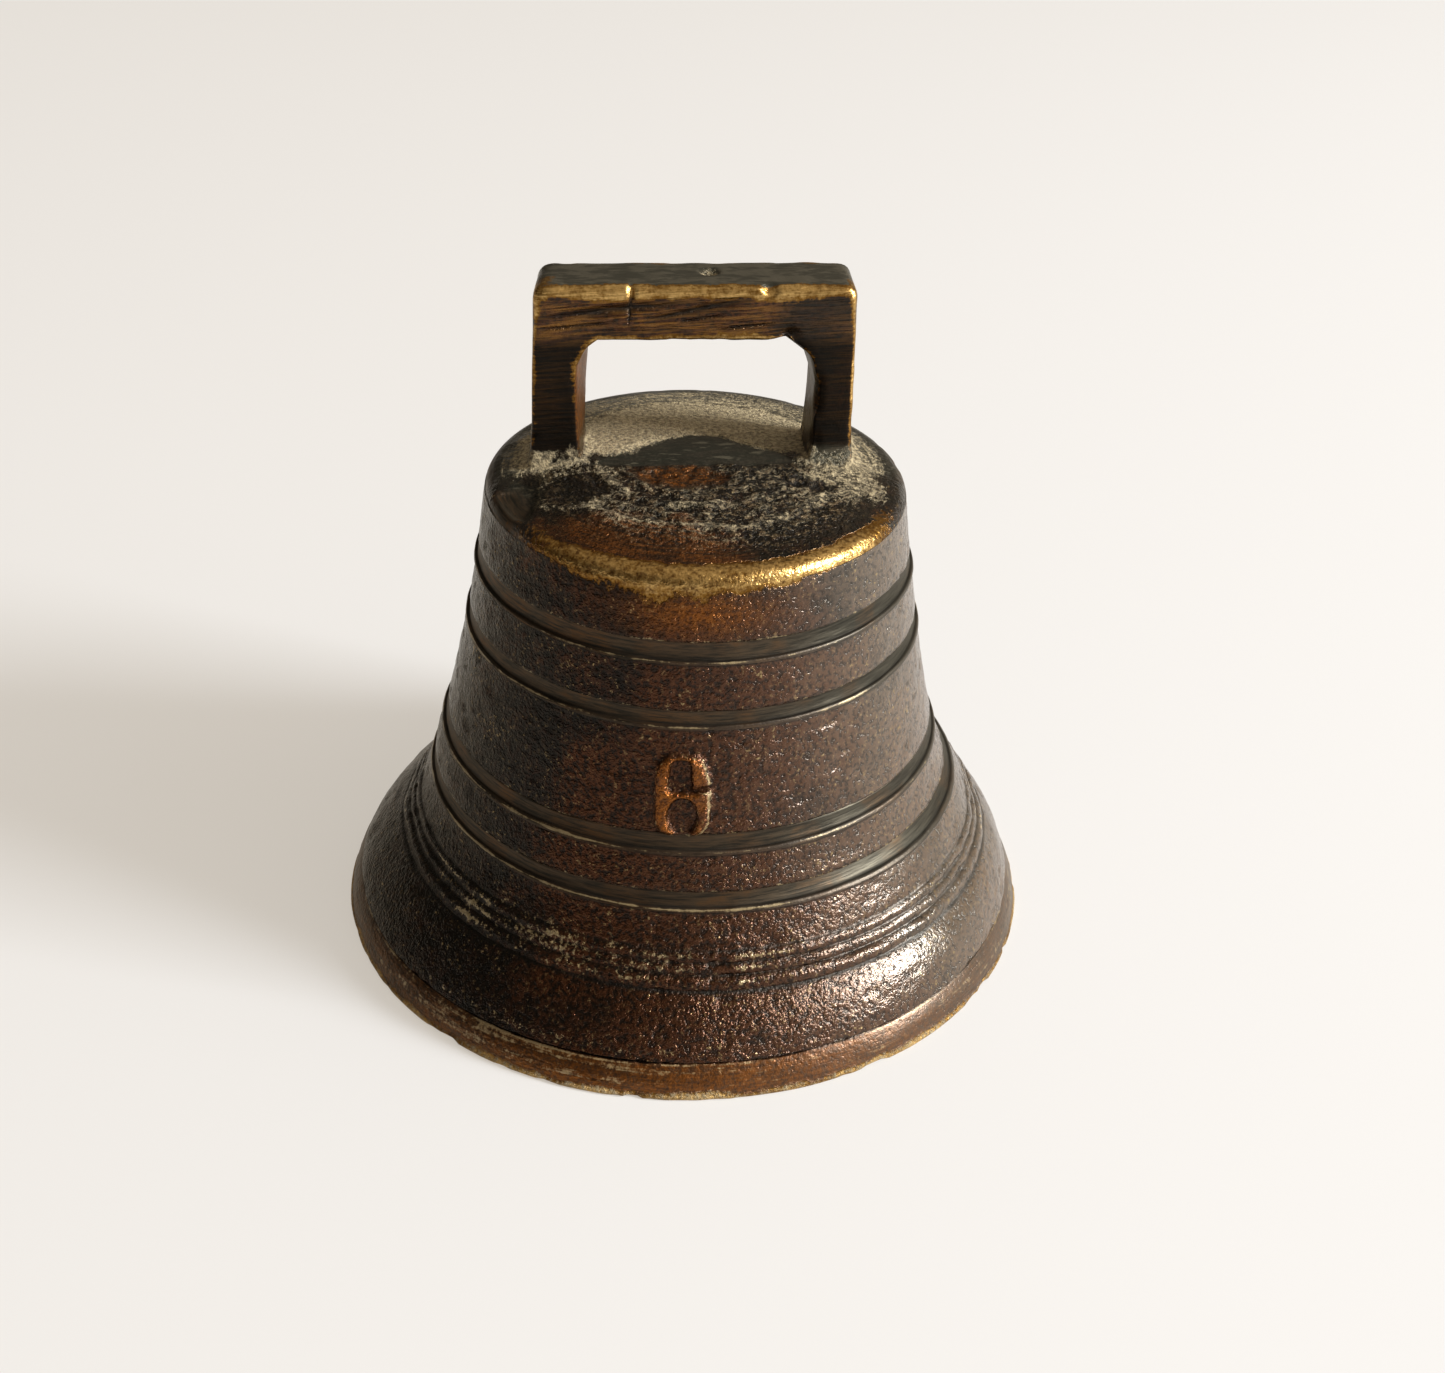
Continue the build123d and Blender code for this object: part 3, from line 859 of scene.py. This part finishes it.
def bell_bronze():
    """Bronze under a brown-black patina, bare where it is handled and dusty where it isn't, with
    painted shade in its creases, a painted highlight on the numeral and the side towards the window
    painted paler.
    """
    black = (0.006, 0.0052, 0.004)
    plum = (0.017, 0.0085, 0.0055)
    red_brown = (0.056, 0.0165, 0.0045)
    peak_brown = (0.115, 0.055, 0.026)
    lit_side_brown = (0.115, 0.084, 0.058)
    turned_grey = (0.062, 0.057, 0.042)
    turned_dark = (0.017, 0.0165, 0.0125)
    brass_dull = (0.165, 0.073, 0.008)
    brass = (0.68, 0.44, 0.16)
    worn_and_highlight_cream = (0.36, 0.27, 0.135)
    copper_orange = (0.24, 0.074, 0.007)
    fleck_gold = (0.30, 0.215, 0.10)
    file_brown = (0.185, 0.08, 0.013)
    dust_light = (0.57, 0.46, 0.275)
    dust_dark = (0.20, 0.16, 0.095)
    crust_tan = (0.22, 0.155, 0.085)
    lightened_inside_brown = (0.13, 0.08, 0.042)
    band_brown = (0.10, 0.047, 0.017)
    lens_green = (0.016, 0.019, 0.014)
    filed_top = (0.17, 0.155, 0.115)

    constants = {"Specular IOR Level": 1.0, "Specular Tint": (0.80, 0.76, 0.69)}
    make = Finish(bpy.data.materials.new("bell_bronze"), constants)
    marks = [make.field(name) for name in bronze_fields[:-1]]
    turned, undercut, edge, gold, dusty, warm, copper, within, strike, handled, crust, loop = marks
    x, y, z = [way * 1000.0 for way in make.axes(make.place)]
    around = make.node("Math", {"operation": "ARCTAN2"}, {0: y, 1: x})
    radial = make.node("Math", {"operation": "SQRT"}, {0: x * x + y * y})
    on_top = z.step(46.6, 47.0) * (1.0 - loop)
    on_lathe = make.node("CombineXYZ", {}, {0: around * 1.6, 1: radial, 2: z})
    on_file = make.node("CombineXYZ", {}, {0: x * 0.05, 1: y * 0.25, 2: z - x * 0.06})
    bare_skin = (1.0 - turned) * (1.0 - loop)
    bands = turned * (1.0 - loop) * (1.0 - on_top)

    pebbles = make.grain(0.46, 2.0, 0.6)
    fine = make.grain(0.22, 2.0, 0.6)
    broad = make.grain(5.0, 3.0, 0.6)
    blotch = make.grain(1.9, 3.0, 0.65)
    speck = make.grain(0.42, 2.0, 0.7)
    turning = make.grain(220.0, 3.0, 0.7, place=on_lathe)
    rings = make.grain(620.0, 3.0, 0.75, place=on_lathe)
    filing = make.grain(240.0, 3.0, 0.65, place=on_file)

    def cut(start, end, width):
        """1 along a line that a coarse file cut across the loop, between two points of x and z."""
        length = hypot(end[0] - start[0], end[1] - start[1])
        run_x, run_z = (end[0] - start[0]) / length, (end[1] - start[1]) / length
        past_x, past_z = x - start[0], z - start[1]
        along = past_x * run_x + past_z * run_z
        beside = past_z * run_x - past_x * run_z + (fine - 0.5) * 0.25
        away = make.node("Math", {"operation": "ABSOLUTE"}, {0: beside})
        ends = along.step(0.0, length * 0.3) * (length - along).step(0.0, length * 0.4)
        return (1.0 - away.step(0.0, width)) * ends * loop * (1.0 - y.step(-0.2, 0.5))

    # the patina, painted paler on the side towards the window, with paler peaks and lighter pits
    # there
    redder = (warm + (blotch - 0.5) * 0.9 + (broad - 0.5) * 0.9).step(0.15, 1.05)
    make.color = make.mix(blotch.step(0.35, 0.65), black, plum)
    make.coat(redder, red_brown)
    paler = (handled + (broad - 0.5) * 0.5 + (blotch - 0.5) * 0.5).step(0.25, 1.1)
    make.coat(paler * 0.85, lit_side_brown)
    peaks = pebbles.step(0.46, 0.66) * (1.0 - turned)
    make.coat(peaks * (0.06 + redder * 0.16 + paler * 0.06), peak_brown)
    hollow = (0.54 - pebbles).step(0.0, 0.16) * (1.0 - turned)
    make.coat(hollow * (0.85 - handled * 0.35), black)
    flecks = speck.step(0.57, 0.66) * pebbles.step(0.46, 0.58) * bare_skin
    flecks = flecks * (0.35 + broad.step(0.5, 0.6) * 0.65)
    make.coat(flecks * 0.85, fleck_gold)
    # the inside, painted a lighter brown: partly its cast colour, partly standing in for the light
    # that the closed mouth keeps out
    make.coat(within * (0.1 + blotch.step(0.35, 0.65) * 0.5), lightened_inside_brown)

    # the turned bands, the filed faces and the rubbed lips and beads, with a painted highlight on the
    # numeral's flanks
    streaks = turning.step(0.3, 0.72)
    make.coat(turned * 0.92, make.mix(streaks, turned_dark, turned_grey))
    # the bands are painted browner on the side away from the window and greyer on the side towards it
    browner = broad.step(0.48, 0.62) * 0.5 + (1.0 - handled).step(0.3, 0.9) * 0.5
    make.coat(bands * browner * streaks, band_brown)
    make.coat(turned * loop * (0.35 + blotch * 0.3), filed_top)
    make.coat(turned * loop * (0.56 - filing).step(0.0, 0.14) * 0.65, lens_green)
    lines = filing.step(0.40, 0.64)
    make.coat(loop * (1.0 - turned) * lines * (0.15 + warm * 0.85), file_brown)
    make.coat(turned * on_top * filing.step(0.42, 0.54) * 0.9, lens_green)
    make.coat(turned * on_top * filing.step(0.56, 0.66) * 0.7, filed_top)
    copper_tone = make.mix(turned * (1.0 - streaks) * 0.85, copper_orange, black)
    make.coat(copper * (0.3 + speck.step(0.36, 0.6) * 0.7), copper_tone)
    make.coat(on_top * (1.0 - turned) * rings.step(0.48, 0.6) * 0.7, black)
    crumbs = make.grain(0.6, 3.0, 0.7)
    pits = crust * (0.5 - crumbs).step(0.0, 0.07)
    make.coat(pits * 0.85, black)
    make.coat(crust * (1.0 - copper * 0.7) * crumbs.step(0.53, 0.62) * 0.75, crust_tan)
    # painted shade in the creases and hollows, and the loop's darker faces
    make.coat(undercut * (0.9 - copper * 0.4), black)
    wear = (speck - 0.5) * (1.7 - turned * 1.3) + (blotch - 0.5) * 0.9 + (rings - 0.5) * turned * 2.8
    rubbed_and_highlit = (edge * 0.75 + wear).step(0.38, 0.7) * edge.step(0.1, 0.4)
    make.coat(rubbed_and_highlit * 0.65, worn_and_highlight_cream)

    # bare metal
    frayed = gold + (pebbles - 0.5) * 1.0 + (blotch - 0.5) * 0.9 + (filing - 0.5) * loop * 1.0
    bare = frayed.step(0.34, 0.62) * gold.step(0.03, 0.25)
    tarnish = speck.step(0.5, 0.62) * 0.55 + blotch.step(0.5, 0.62) * 0.35
    tarnish = tarnish * (1.4 - frayed).step(0.0, 0.6) * (1.0 - loop * 0.7)
    shine = (frayed + (broad - 0.5) * 0.5 + (fine - 0.5) * 0.5).step(0.5, 1.35)
    make.coat(bare * 0.95, make.mix(shine, brass_dull, brass))
    make.coat(bare * tarnish, red_brown)
    struck = strike * fine.step(0.35, 0.6) * 0.8
    make.coat(struck, brass_dull)

    # the cuts of the file, painted black as shade in the grooves
    cuts = cut((-15.2, 62.6), (-0.2, 64.2), 0.22)
    cuts = cuts.most(cut((-5.2, 62.3), (4.8, 64.5), 0.26))
    cuts = cuts.most(cut((-10.9, 62.8), (-4.8, 63.8), 0.2) * 0.8)
    cuts = cuts.most(cut((-2.4, 62.2), (2.8, 63.0), 0.18) * 0.8)
    cuts = cuts.most(cut((-6.65, 61.6), (-6.25, 65.6), 0.2) * 0.9)
    cuts = cuts.most(cut((-14.8, 61.5), (-7.4, 62.3), 0.2) * 0.7)
    cuts = cuts.most(cut((1.0, 61.4), (7.8, 62.2), 0.2) * 0.7)
    make.coat(cuts * 0.9, black)

    # dust
    clumps = make.grain(0.42, 4.0, 0.7)
    drifts = (clumps - 0.5) * 1.9 + (rings - 0.5) * on_top * 1.8
    settled = (dusty * 1.2 + drifts).step(0.1, 1.05) * dusty.step(0.03, 0.2) * (1.0 - pits * 0.8)
    dust_tone = make.mix(clumps.step(0.35, 0.65), dust_dark, dust_light)
    make.coat(settled * 0.92, dust_tone)

    roughness = 0.11 + 0.10 * blotch + settled * 0.6 + undercut * 0.3 + within * 0.2
    roughness = roughness + (1.0 - handled) * 0.05 + crust * 0.2 + bands * 0.26
    roughness = roughness + gold.step(0.0, 0.3) * 0.09 + turned * loop * 0.12 + turned * on_top * 0.1
    roughness = roughness + copper * loop * 0.2
    metallic = (0.86 - handled * 0.76).most(bare * 0.95).most(flecks * 0.6).most(struck)
    metallic = metallic.most(bands * 0.85).most(copper * 0.7) * (1.0 - settled) * (1.0 - rubbed_and_highlit * 0.6)

    pebbled = (pebbles * 0.7 + fine * 0.3) * (1.6 - handled.step(0.1, 0.8) * 1.15)
    grains = pebbled + pebbles.step(0.28, 0.42) * handled * 0.2
    grains = grains * (1.0 - turned) * (1.0 - loop * 0.85)
    normal = make.bump(grains * (1.0 - bare * 0.6), 0.21)
    normal = make.bump(crumbs * crust, 0.4, normal)
    scratches = turning * turned * (1.0 - loop) * 0.6 + filing * (loop + turned * on_top) * 1.6
    normal = make.bump(scratches - cuts * 3.0, 0.055, normal)
    normal = make.bump(clumps * settled, 0.3, normal)
    return make.finished(roughness=roughness, metallic=metallic, normal=normal)


bell.data.materials.clear()
bell.data.materials.append(bell_bronze())
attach(bell, "bell")
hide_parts("bell_casting")

# ---------------------------------------------------------------------------------------------
# The staple. A bar of iron wire bent to a U, whose two ends stood in the mould when the bell was
# poured, so that the bronze holds them. The link has rubbed the middle of the bar bright.

staple_wire = 2.4
staple_level = 38.9
staple_corner = 2.0
staple_top = 46.3
wire_turns = 30


def swept(path, radii, across, closed=False):
    """A round bar's points and faces along a flat path, with the path's sideways direction."""
    if closed:
        along = np.roll(path, -1, axis=0) - np.roll(path, 1, axis=0)
    else:
        along = np.gradient(path, axis=0)
    beside = np.cross(along / np.linalg.norm(along, axis=1)[:, None], across)
    turn = np.arange(wire_turns)[:, None] * 2 * pi / wire_turns
    spokes = np.cos(turn) * np.array(across) + np.sin(turn) * beside[:, None]
    points = path[:, None] + np.broadcast_to(radii, len(path))[:, None, None] * spokes
    points = points.reshape(-1, 3)
    faces = ring_faces(len(path), wire_turns, closed)
    centres = np.repeat(path, wire_turns, axis=0)
    if ((points - centres) * outward(points, faces)).sum() < 0:
        faces = [face[::-1] for face in faces]
    return points, faces


def hammered(points, faces, seed, depth=0.08):
    """The points with the shallow flats and scale that the hammer and the fire left."""
    flats = rises(0.0, 0.9, lumps(points, 2.2, seed))
    inward_by = depth * (0.6 * flats + 0.25 + 0.25 * lumps(points, 0.8, seed + 1))
    return points - outward(points, faces) * inward_by[:, None]


def forged_iron(name, rust=0.5):
    """Black forged iron that has rusted, rubbed bright where it bears on its neighbour."""
    scale_black = (0.018, 0.015, 0.013)
    rust_dark = (0.060, 0.022, 0.010)
    rust_light = (0.19, 0.072, 0.024)
    steel = (0.34, 0.32, 0.29)
    make = Finish(bpy.data.materials.new(name))
    worn = make.field("worn")
    grit = make.grain(0.35, 3.0, 0.65)
    blotch = make.grain(1.8, 4.0, 0.65)
    scale = make.grain(0.9, 3.0, 0.6)
    rusted = (blotch + (rust - 0.5) * 0.5).step(0.42, 0.62)
    make.color = make.mix(rusted, scale_black, rust_dark)
    make.coat(rusted * grit.step(0.5, 0.68), rust_light)
    bright = (worn + (grit - 0.5) * 0.5).step(0.35, 0.7)
    make.coat(bright, steel)
    roughness = 0.5 + rusted * 0.28 - bright * 0.25 + (grit - 0.5) * 0.2
    metallic = (bright * 0.95).most((1.0 - rusted) * 0.45)
    normal = make.bump(grit * (1.0 - bright * 0.8), 0.12)
    normal = make.bump(scale * rusted, 0.12, normal)
    return make.finished(roughness=roughness, metallic=metallic, normal=normal)


def ironwork(piece_name, mesh, node, body, rust):
    """Puts a forged piece on its body, in the place of its plain solid."""
    piece = placed(piece_name, mesh)
    piece.data.materials.clear()
    piece.data.materials.append(forged_iron(piece_name + "_iron", rust))
    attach(piece, body)
    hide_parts(node)
    return piece


staple_corners = [(-staple_half, staple_top), (-staple_half, staple_level)]
staple_corners += [(staple_half, staple_level), (staple_half, staple_top)]
staple_line = bent(staple_corners, staple_corner, 0.3)
staple_path = np.insert(staple_line, 1, 0.0, axis=1)
staple_points, staple_faces = swept(staple_path, staple_wire / 2, (0, 1, 0))
staple_x, staple_z = staple_points[:, 0], staple_points[:, 2]
staple_worn = hump(staple_x, 0, 1.3) * (staple_z < 41)
staple_worn *= rises(staple_level, staple_level + 1.0, staple_z)
staple_points = hammered(staple_points, staple_faces, 51)
staple_mesh = named_mesh("staple", staple_points, staple_faces, {"worn": staple_worn})
staple = ironwork("staple", staple_mesh, "clapper_staple", "bell", 0.6)

# ---------------------------------------------------------------------------------------------
# The link. A ring of iron wire, lapped and welded shut at one side, that hangs on the staple and
# carries the clapper. It is worn where the bar and the clapper's eye bear on it.

link_wire = 1.8
link_inner = 2.7
link_level = 37.5
ring_turns = np.arange(84) * 2 * pi / 84


def upright_ring(radius, level, sideways):
    """The middle line of a ring of wire that stands upright along a sideways direction."""
    flat = np.outer(radius * np.cos(ring_turns), sideways)
    return flat + np.outer(radius * np.sin(ring_turns) + level, (0, 0, 1))


link_path = upright_ring(link_inner + link_wire / 2, link_level, (0, 1, 0))
lap = 0.03 * hump(ring_turns, 0.35, 0.3) - 0.1 * hump(ring_turns, 0.62, 0.07)
link_points, link_faces = swept(link_path, link_wire / 2 * (1 + lap), (1, 0, 0), closed=True)
link_reach = np.hypot(link_points[:, 1], link_points[:, 2] - link_level)
link_worn = hump(link_points[:, 1], 0, 1.4) * falls(3.0, 3.7, link_reach)
link_points = hammered(link_points, link_faces, 53, 0.06)
link_mesh = named_mesh("link", link_points, link_faces, {"worn": link_worn})
link = ironwork("link", link_mesh, "clapper_link", "link", 0.7)

# ---------------------------------------------------------------------------------------------
# The clapper's shank. An iron rod with its upper end bent round and welded into an eye, drawn
# down by the hammer from the shoulder to the neck. Its lower end goes through the ball.

eye_wire = 2.0
eye_inner = 2.2
eye_level = 32.7
shank_neck = 2.5
shank_shoulder = 3.8
shank_spigot = 2.8
ball_radius = 5.2
ball_level = 6.5
ball_half_height = 4.6
rivet_radius = 2.1
rivet_height = 0.9
ball_top = ball_level + ball_half_height
ball_foot = ball_level - ball_half_height
rod_turns = np.linspace(0, 2 * pi, 48, endpoint=False)

eye_mean = eye_inner + eye_wire / 2
eye_path = upright_ring(eye_mean, eye_level, (1, 0, 0))
eye_points, eye_faces = swept(eye_path, eye_wire / 2, (0, 1, 0), closed=True)
eye_reach = np.hypot(eye_points[:, 0], eye_points[:, 2] - eye_level)
eye_worn = hump(eye_points[:, 0], 0, 1.3) * (eye_points[:, 2] > eye_level)
eye_worn *= falls(2.5, 3.3, eye_reach)
eye_points = hammered(eye_points, eye_faces, 55, 0.07)
eye_fields = {"worn": eye_worn, "kept": np.ones(len(eye_points))}
eye_mesh = named_mesh("eye", eye_points, eye_faces, eye_fields)

rod = Section(0.1, ball_foot - rivet_height + 0.04)
rod.arc_to(rivet_radius - 0.08, ball_foot - 0.25, 0.35, step=0.2)
rod.arc_to(rivet_radius - 0.1, ball_foot - 0.02, 0.05, step=0.1)
rod.arc_to(shank_spigot / 2 - 0.03, ball_foot - 0.02, step=0.2)
rod.arc_to(shank_spigot / 2 - 0.03, ball_top, step=0.8)
rod.arc_to(shank_shoulder / 2 - 0.1, ball_top + 0.02, step=0.2)
rod.arc_to(shank_shoulder / 2, ball_top + 0.35, 0.04, step=0.15)
rod.arc_to(shank_neck / 2 + 0.02, eye_level - eye_mean, -0.15, step=0.35)
rod.arc_to(0.1, eye_level - eye_mean + 0.4, 0.2, step=0.3)
rod_points = turned_points(rod.rows, rod_turns)
rod_faces = ring_faces(len(rod.rows), len(rod_turns))
rod_z = rod_points[:, 2]
rod_turn = np.arctan2(rod_points[:, 1], rod_points[:, 0])
eight_flats = 0.5 + 0.5 * np.cos(8 * rod_turn + 0.02 * rod_z)
drawn = rises(ball_top, ball_top + 1.0, rod_z)
rod_points = hammered(rod_points, rod_faces, 57, 0.07)
rod_points[:, :2] *= (1 - 0.035 * eight_flats * drawn)[:, None]
rod_fields = {"worn": 0.55 * (rod_z < ball_foot), "kept": np.ones(len(rod_points))}
rod_mesh = named_mesh("rod", rod_points, rod_faces, rod_fields)
shank_mesh = joined("shank", eye_mesh, rod_mesh, ["worn", "kept"])
shank = ironwork("shank", shank_mesh, "clapper_shank", "clapper", 0.5)

# ---------------------------------------------------------------------------------------------
# The clapper's ball. A forged iron ball, flat above and below, held on the shank by the riveted
# end. A belt of small bright flats shows where it has struck the bell.

bore = shank_spigot / 2 + 0.02
flat_radius = (ball_radius**2 - ball_half_height**2) ** 0.5
ball_turns = np.linspace(0, 2 * pi, 96, endpoint=False)

outline = Section(bore, ball_foot + 0.1)
outline.arc_to(bore + 0.1, ball_foot, step=0.1)
outline.arc_to(flat_radius - 0.1, ball_foot, step=0.3)
for lean in np.linspace(-62.2, 62.2, 42):
    side = radians(lean)
    outline.rows.append((ball_radius * cos(side), ball_level + ball_radius * sin(side)))
outline.arc_to(flat_radius - 0.1, ball_top, step=0.1)
outline.arc_to(bore + 0.1, ball_top, step=0.3)
outline.arc_to(bore, ball_top - 0.1, step=0.1)
ball_points = turned_points(outline.rows, ball_turns)
ball_faces = ring_faces(len(outline.rows), len(ball_turns), closed=True)
belt = hump(ball_points[:, 2], ball_level, 1.5)
marks = rises(0.1, 0.7, lumps(ball_points, 1.6, 61))
on_bore = np.hypot(ball_points[:, 0], ball_points[:, 1]) < bore + 0.3
ball_points = np.where(on_bore[:, None], ball_points, hammered(ball_points, ball_faces, 63, 0.1))
ball_points = ball_points - outward(ball_points, ball_faces) * (0.05 * belt * marks)[:, None]
ball_fields = {"worn": belt * (0.35 + 0.65 * marks)}
ball_mesh = named_mesh("ball", ball_points, ball_faces, ball_fields)
ball = ironwork("ball", ball_mesh, "clapper_ball", "clapper", 0.45)

# ---------------------------------------------------------------------------------------------
# The table and the light: a plain pale top, soft light from a window to the right, and the room's
# own light, which is brighter towards the window, overhead and behind, and dim to the left.


def plain_floor():
    """A matt pale top that shows no underside, so that the bell can be seen from below."""
    pale = (0.94, 0.87, 0.775)
    constants = {"Base Color": (0.72, 0.74, 0.79), "Roughness": 0.9, "Specular IOR Level": 0.1}
    make = Finish(bpy.data.materials.new("table_top"), constants)
    surface = Value(make, make.shader.outputs[0])
    rays = make.node("LightPath", {}, {}).socket.node.outputs
    seen = Value(make, rays["Is Camera Ray"]).most(Value(make, rays["Is Glossy Ray"]))
    seen = seen.most(Value(make, rays["Is Transmission Ray"]))
    glow = make.node("Emission", {}, {"Color": pale, "Strength": 1.0})
    lit = make.node("MixShader", {}, {0: seen * 0.5, 1: surface, 2: glow})
    below = make.node("NewGeometry", {}, {}, "Backfacing")
    clear = make.node("BsdfTransparent", {}, {})
    shown = make.node("MixShader", {}, {0: below, 1: lit, 2: clear})
    make.feed(make.tree.nodes["Material Output"].inputs["Surface"], shown)
    return make.owner


half = 6000.0  # half of the top's width
floor_corners = [(-half, -half, 0), (half, -half, 0), (half, half, 0), (-half, half, 0)]
floor = placed("floor", named_mesh("floor", floor_corners, [(0, 1, 2, 3)]))
floor.data.materials.append(plain_floor())

window_azimuth = radians(-20)
room = bpy.data.worlds.new("room")
bpy.context.scene.world = room
sky = Finish(room, {"Color": (1.0, 0.87, 0.70)}, "Generated")
sky_x, sky_y, sky_z = sky.axes(sky.place)
towards = sky_x * cos(window_azimuth) + sky_y * sin(window_azimuth)
behind = sky_y.step(0.1, 0.95) * towards.step(-0.8, 0.2)
bright = 0.03 + 0.52 * towards.step(-0.1, 0.95) + 0.36 * sky_z.step(0.1, 1.0)
sky.finished(strength=bright + 0.3 * behind)


def lamp(name, azimuth, elevation, distance, size, power, color):
    """A soft square light that looks at the bell's middle."""
    light = bpy.data.lights.new(name, "AREA")
    light.shape = "RECTANGLE"
    light.size, light.size_y = size
    light.energy = power
    light.color = color
    out = Vector((cos(azimuth) * cos(elevation), sin(azimuth) * cos(elevation), sin(elevation)))
    bell_middle = Vector((0, 0, 0.025))
    piece = placed(name, light)
    turn = out.to_track_quat("Z", "Y")
    piece.matrix_world = Matrix.LocRotScale(bell_middle + out * distance, turn, None)


lamp("window", window_azimuth, radians(26), 1.2, (0.36, 0.36), 24.0, (0.98, 1.0, 1.0))
lamp("beside_window", window_azimuth, radians(27), 1.2, (0.95, 0.95), 4.0, (0.98, 1.0, 1.0))

# The view: a little to the left of the numeral and looking down at the bell.
view_turn = radians(5.27)
pitch, roll, yaw = radians(32.056), radians(2.19), radians(1.02)
eye = Vector((0, -0.183155, 0.13783))
ahead = Vector((sin(yaw) * cos(pitch), cos(yaw) * cos(pitch), -sin(pitch)))
right = Vector((cos(yaw), -sin(yaw), 0))
up = right.cross(ahead)
tilted_right = cos(roll) * right + sin(roll) * up
tilted_up = cos(roll) * up - sin(roll) * right
pose = Matrix((tilted_right, tilted_up, -ahead)).transposed().to_4x4()
pose.translation = eye
lens = bpy.data.cameras.new("camera")
lens.sensor_width = 36.0
lens.lens = 53.45
camera = placed("camera", lens)
camera.matrix_world = Matrix.Rotation(-view_turn, 4, "Z") @ pose
bpy.context.scene.camera = camera
bpy.context.scene.view_settings.view_transform = "Standard"
